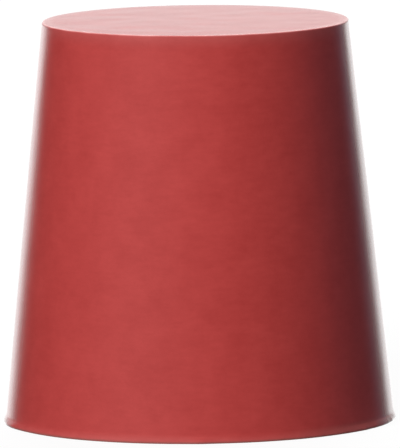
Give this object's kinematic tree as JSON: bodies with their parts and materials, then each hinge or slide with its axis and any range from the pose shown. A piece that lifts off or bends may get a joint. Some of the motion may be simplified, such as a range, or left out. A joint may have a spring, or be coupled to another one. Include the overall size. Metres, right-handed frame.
{
  "type": "rubber stopper",
  "caption": "Solid tapered plug of red rubber, with flat ends, that closes the neck of a flask or test tube.",
  "frame": {"origin": "centre of the large end face, which is the face that the stopper stands on", "axes": "+Z along the axis of the taper, from the large end to the small end; X and Y are any two directions across, because the stopper is round"},
  "size_m": [0.0294, 0.0294, 0.03],
  "materials": {
    "rubber": "matt moulded red rubber, paler and dusty on the end faces"
  },
  "bodies": {
    "root": {"stopper": "rubber"}
  },
  "joints": []
}
